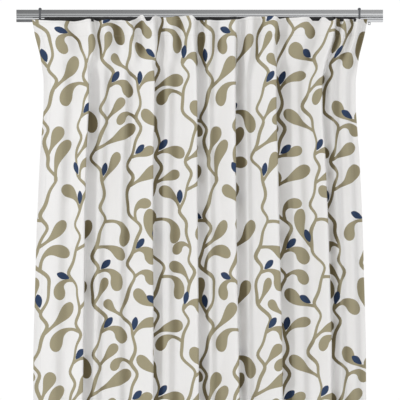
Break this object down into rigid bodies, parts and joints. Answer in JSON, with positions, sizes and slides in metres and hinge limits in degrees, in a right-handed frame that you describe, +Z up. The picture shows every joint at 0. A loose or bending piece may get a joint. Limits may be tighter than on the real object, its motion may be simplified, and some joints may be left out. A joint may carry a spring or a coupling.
{
  "type": "shower curtain",
  "caption": "Printed soft curtain gathered on a heading tape, hung by hooks and gliders from a straight aluminium track on wall brackets.",
  "frame": {"origin": "in the wall plane, midway between the two wall brackets, at the height of the centres of their plates", "axes": "+X to the right along the track, seen from the room; +Y into the wall; +Z up"},
  "size_m": [0.955, 0.126, 2.0303],
  "materials": {
    "track_aluminium": "satin anodised extrusion",
    "bracket_steel": "dark bent steel strip",
    "screw_zinc": "zinc plated",
    "runner_nylon": "white moulded nylon",
    "hook_plastic": "white moulded plastic",
    "curtain_fabric": "plain weave, off-white with a printed climbing leaf pattern",
    "tape_fabric": "woven gathering tape"
  },
  "bodies": {
    "track": {"track_profile": "track_aluminium", "wall_bracket_left": "bracket_steel", "wall_bracket_right": "bracket_steel", "clamp_screw_left": "screw_zinc", "clamp_screw_right": "screw_zinc", "wall_screw_left_inner": "screw_zinc", "wall_screw_left_outer": "screw_zinc", "wall_screw_right_inner": "screw_zinc", "wall_screw_right_outer": "screw_zinc", "end_stop_left": "screw_zinc", "end_stop_right": "screw_zinc", "stop_screw_left": "bracket_steel", "stop_screw_right": "bracket_steel"},
    "curtain": {"curtain_cloth": "curtain_fabric", "heading_tape": "tape_fabric", "bottom_hem": "curtain_fabric", "hook_end": "hook_plastic"},
    "glider_1": {"glider_1": "runner_nylon"},
    "hook_1": {"hook_1": "hook_plastic"},
    "glider_2": {"glider_2": "runner_nylon"},
    "hook_2": {"hook_2": "hook_plastic"},
    "glider_3": {"glider_3": "runner_nylon"},
    "hook_3": {"hook_3": "hook_plastic"},
    "glider_4": {"glider_4": "runner_nylon"},
    "hook_4": {"hook_4": "hook_plastic"},
    "glider_5": {"glider_5": "runner_nylon"},
    "hook_5": {"hook_5": "hook_plastic"},
    "glider_6": {"glider_6": "runner_nylon"},
    "hook_6": {"hook_6": "hook_plastic"},
    "glider_7": {"glider_7": "runner_nylon"},
    "hook_7": {"hook_7": "hook_plastic"},
    "glider_8": {"glider_8": "runner_nylon"},
    "hook_8": {"hook_8": "hook_plastic"}
  },
  "joints": [
    {"name": "curtain_draw", "type": "slide", "parent": "track", "child": "glider_8", "axis": [-1, 0, 0], "range_m": [0, 0.6], "deforming": ["curtain_cloth", "heading_tape", "bottom_hem"]},
    {"name": "curtain_swing", "type": "hinge", "parent": "track", "child": "curtain", "pos_m": [0, -0.054, -0.0165], "axis": [-1, 0, 0], "range_deg": [0, 8]},
    {"name": "glider_1_slide", "type": "slide", "parent": "track", "child": "glider_1", "axis": [-1, 0, 0], "range_m": [0, 0.075]},
    {"name": "glider_2_slide", "type": "slide", "parent": "track", "child": "glider_2", "axis": [-1, 0, 0], "range_m": [0, 0.15]},
    {"name": "glider_3_slide", "type": "slide", "parent": "track", "child": "glider_3", "axis": [-1, 0, 0], "range_m": [0, 0.225]},
    {"name": "glider_4_slide", "type": "slide", "parent": "track", "child": "glider_4", "axis": [-1, 0, 0], "range_m": [0, 0.3]},
    {"name": "glider_5_slide", "type": "slide", "parent": "track", "child": "glider_5", "axis": [-1, 0, 0], "range_m": [0, 0.375]},
    {"name": "glider_6_slide", "type": "slide", "parent": "track", "child": "glider_6", "axis": [-1, 0, 0], "range_m": [0, 0.45]},
    {"name": "glider_7_slide", "type": "slide", "parent": "track", "child": "glider_7", "axis": [-1, 0, 0], "range_m": [0, 0.525]},
    {"name": "hook_1_swing", "type": "hinge", "parent": "glider_1", "child": "hook_1", "pos_m": [-0.31912, -0.054, -0.0165], "axis": [-1, 0, 0], "range_deg": [0, 8]},
    {"name": "hook_2_swing", "type": "hinge", "parent": "glider_2", "child": "hook_2", "pos_m": [-0.21275, -0.054, -0.0165], "axis": [-1, 0, 0], "range_deg": [0, 8]},
    {"name": "hook_3_swing", "type": "hinge", "parent": "glider_3", "child": "hook_3", "pos_m": [-0.10637, -0.054, -0.0165], "axis": [-1, 0, 0], "range_deg": [0, 8]},
    {"name": "hook_4_swing", "type": "hinge", "parent": "glider_4", "child": "hook_4", "pos_m": [0, -0.054, -0.0165], "axis": [-1, 0, 0], "range_deg": [0, 8]},
    {"name": "hook_5_swing", "type": "hinge", "parent": "glider_5", "child": "hook_5", "pos_m": [0.10637, -0.054, -0.0165], "axis": [-1, 0, 0], "range_deg": [0, 8]},
    {"name": "hook_6_swing", "type": "hinge", "parent": "glider_6", "child": "hook_6", "pos_m": [0.21275, -0.054, -0.0165], "axis": [-1, 0, 0], "range_deg": [0, 8]},
    {"name": "hook_7_swing", "type": "hinge", "parent": "glider_7", "child": "hook_7", "pos_m": [0.31912, -0.054, -0.0165], "axis": [-1, 0, 0], "range_deg": [0, 8]},
    {"name": "hook_8_swing", "type": "hinge", "parent": "glider_8", "child": "hook_8", "pos_m": [0.4255, -0.054, -0.0165], "axis": [-1, 0, 0], "range_deg": [0, 8]}
  ],
  "couplings": [
    {"joint": "glider_1_slide", "follows": "curtain_draw", "ratio": 0.125},
    {"joint": "glider_2_slide", "follows": "curtain_draw", "ratio": 0.25},
    {"joint": "glider_3_slide", "follows": "curtain_draw", "ratio": 0.375},
    {"joint": "glider_4_slide", "follows": "curtain_draw", "ratio": 0.5},
    {"joint": "glider_5_slide", "follows": "curtain_draw", "ratio": 0.625},
    {"joint": "glider_6_slide", "follows": "curtain_draw", "ratio": 0.75},
    {"joint": "glider_7_slide", "follows": "curtain_draw", "ratio": 0.875},
    {"joint": "hook_1_swing", "follows": "curtain_swing", "ratio": 1},
    {"joint": "hook_2_swing", "follows": "curtain_swing", "ratio": 1},
    {"joint": "hook_3_swing", "follows": "curtain_swing", "ratio": 1},
    {"joint": "hook_4_swing", "follows": "curtain_swing", "ratio": 1},
    {"joint": "hook_5_swing", "follows": "curtain_swing", "ratio": 1},
    {"joint": "hook_6_swing", "follows": "curtain_swing", "ratio": 1},
    {"joint": "hook_7_swing", "follows": "curtain_swing", "ratio": 1},
    {"joint": "hook_8_swing", "follows": "curtain_swing", "ratio": 1}
  ]
}
